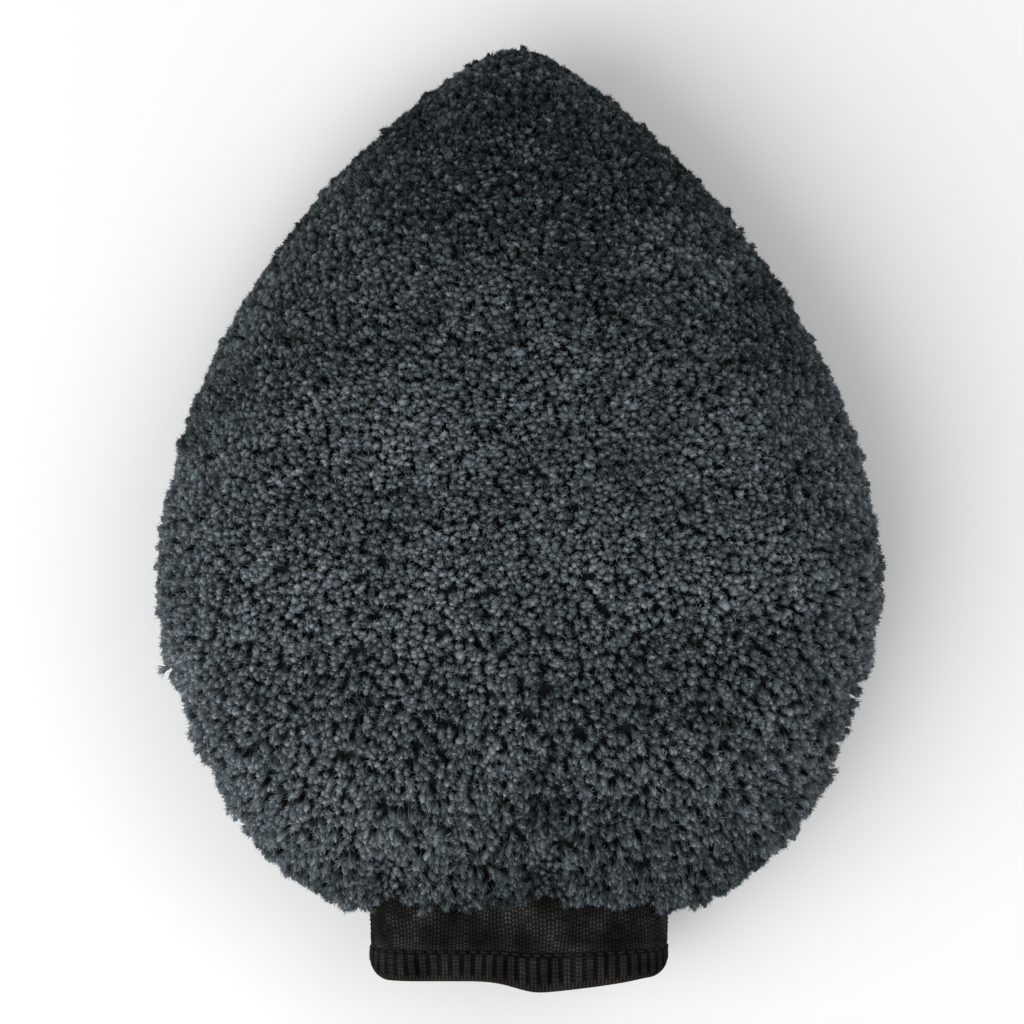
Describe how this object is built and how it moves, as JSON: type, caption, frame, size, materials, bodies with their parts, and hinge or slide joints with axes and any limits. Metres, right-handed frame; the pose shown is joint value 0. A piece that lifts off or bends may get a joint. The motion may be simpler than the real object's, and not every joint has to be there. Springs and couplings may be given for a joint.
{
  "type": "car wash mitt",
  "caption": "Soft tufted wash mitt with a pointed tip, padded hand pocket and short elasticated rib-knit cuff.",
  "frame": {"origin": "middle of the footprint, on the surface that the mitt lies on", "axes": "+Y from the cuff to the tip, +Z from the back of the mitt to its palm, +X across it"},
  "size_m": [0.2078, 0.27, 0.078],
  "materials": {
    "microfibre_pile": "deep matt tufts",
    "wadding": "matt",
    "lining_fabric": "plain weave, matt",
    "rib_knit": "matt rib knit",
    "elastic": "matt",
    "sewing_thread": "twisted thread"
  },
  "bodies": {
    "root": {"palm_pile_panel": "microfibre_pile", "back_pile_panel": "microfibre_pile", "palm_padding": "wadding", "back_padding": "wadding", "palm_lining": "lining_fabric", "back_lining": "lining_fabric", "cuff_knit_tube": "rib_knit", "cuff_elastic_band": "elastic", "cuff_hem_thread": "sewing_thread", "perimeter_seam_thread": "sewing_thread", "mouth_seam_thread": "sewing_thread"}
  },
  "joints": []
}
